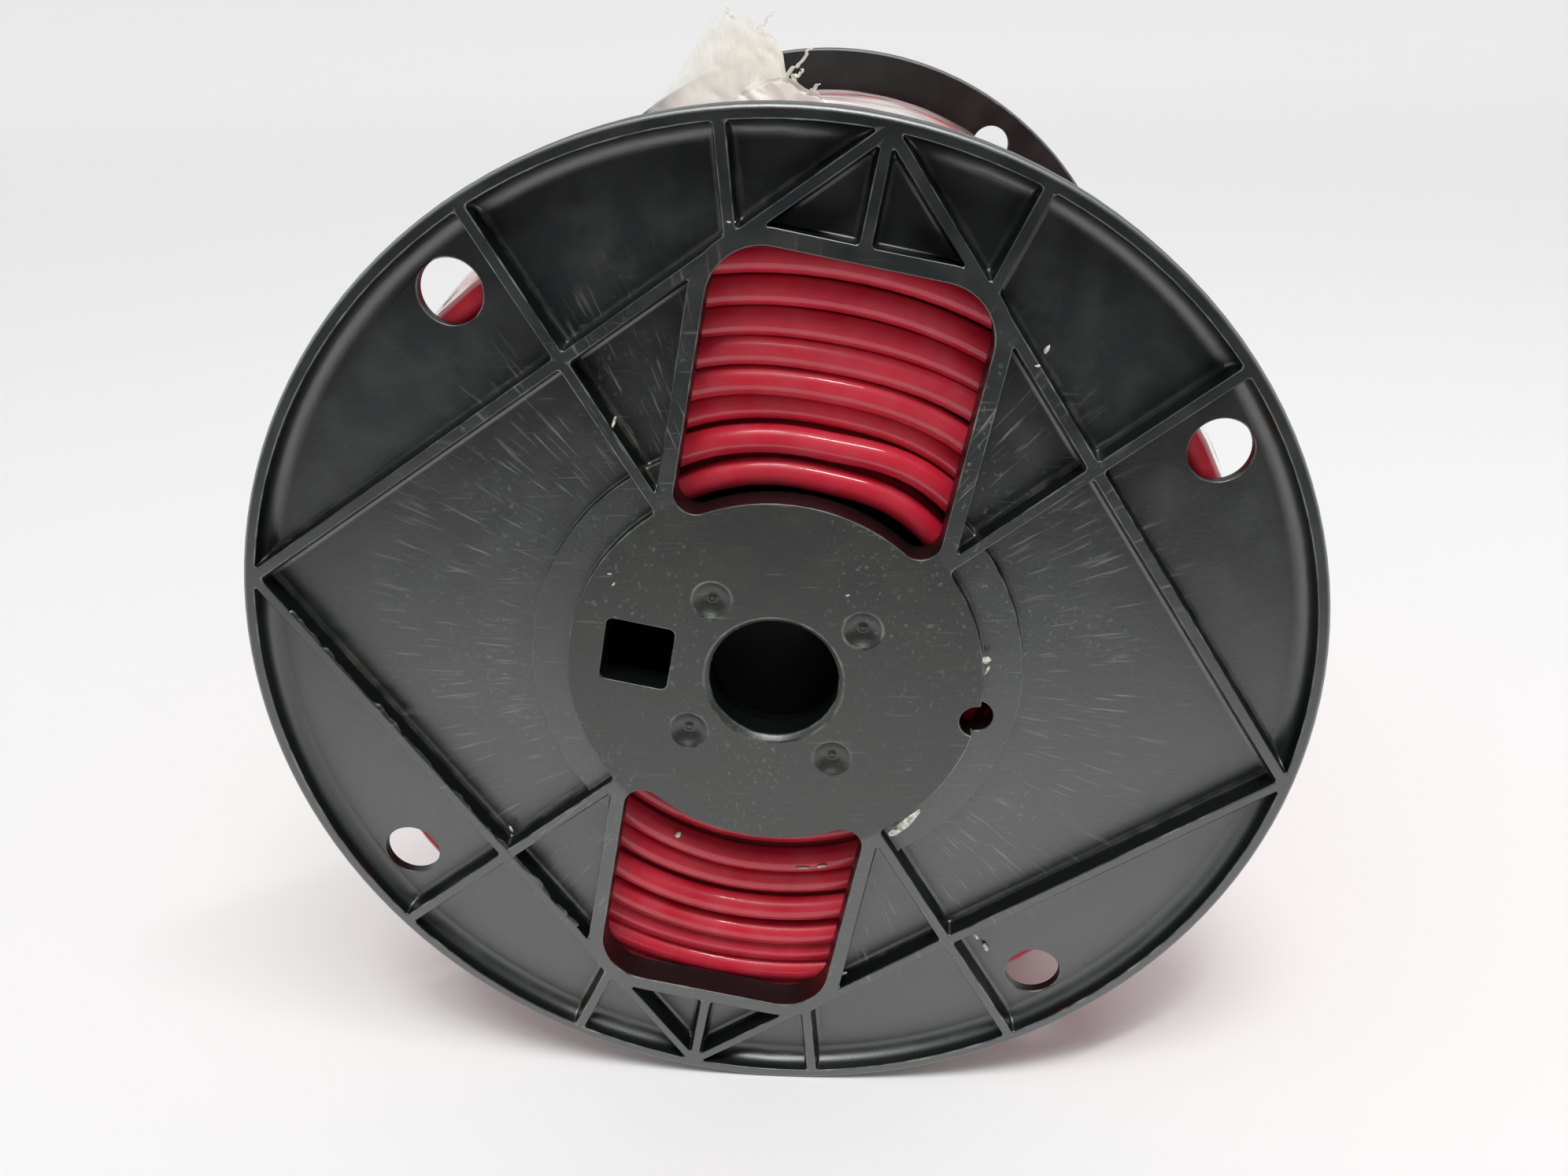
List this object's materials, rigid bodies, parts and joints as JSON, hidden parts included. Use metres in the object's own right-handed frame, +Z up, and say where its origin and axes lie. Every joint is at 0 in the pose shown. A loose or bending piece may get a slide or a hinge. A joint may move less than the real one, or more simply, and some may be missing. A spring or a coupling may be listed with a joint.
{
  "type": "wire spool",
  "caption": "Ribbed two-flange plastic spool wound full with insulated wire and wrapped in stretch film, turning on a rod through its arbor bore.",
  "frame": {"origin": "on the axis of the arbor bore, half way between the outer faces of the two flanges", "axes": "+Y along the arbor bore from the front flange to the rear flange, +Z up with the spool lying on its two rims, +X to the right seen from the front"},
  "size_m": [0.1588, 0.181, 0.1689],
  "materials": {
    "spool_plastic": "moulded, semi-gloss, blue-black",
    "wire_insulation": "glossy extruded jacket, red",
    "stretch_film": "clear film, whitish where it is gathered"
  },
  "bodies": {
    "root": {"front_flange": "spool_plastic", "rear_flange": "spool_plastic", "barrel": "spool_plastic", "wire_core": "wire_insulation", "wire_turns": "wire_insulation", "film_wrap": "stretch_film", "film_tail": "stretch_film"}
  },
  "joints": []
}
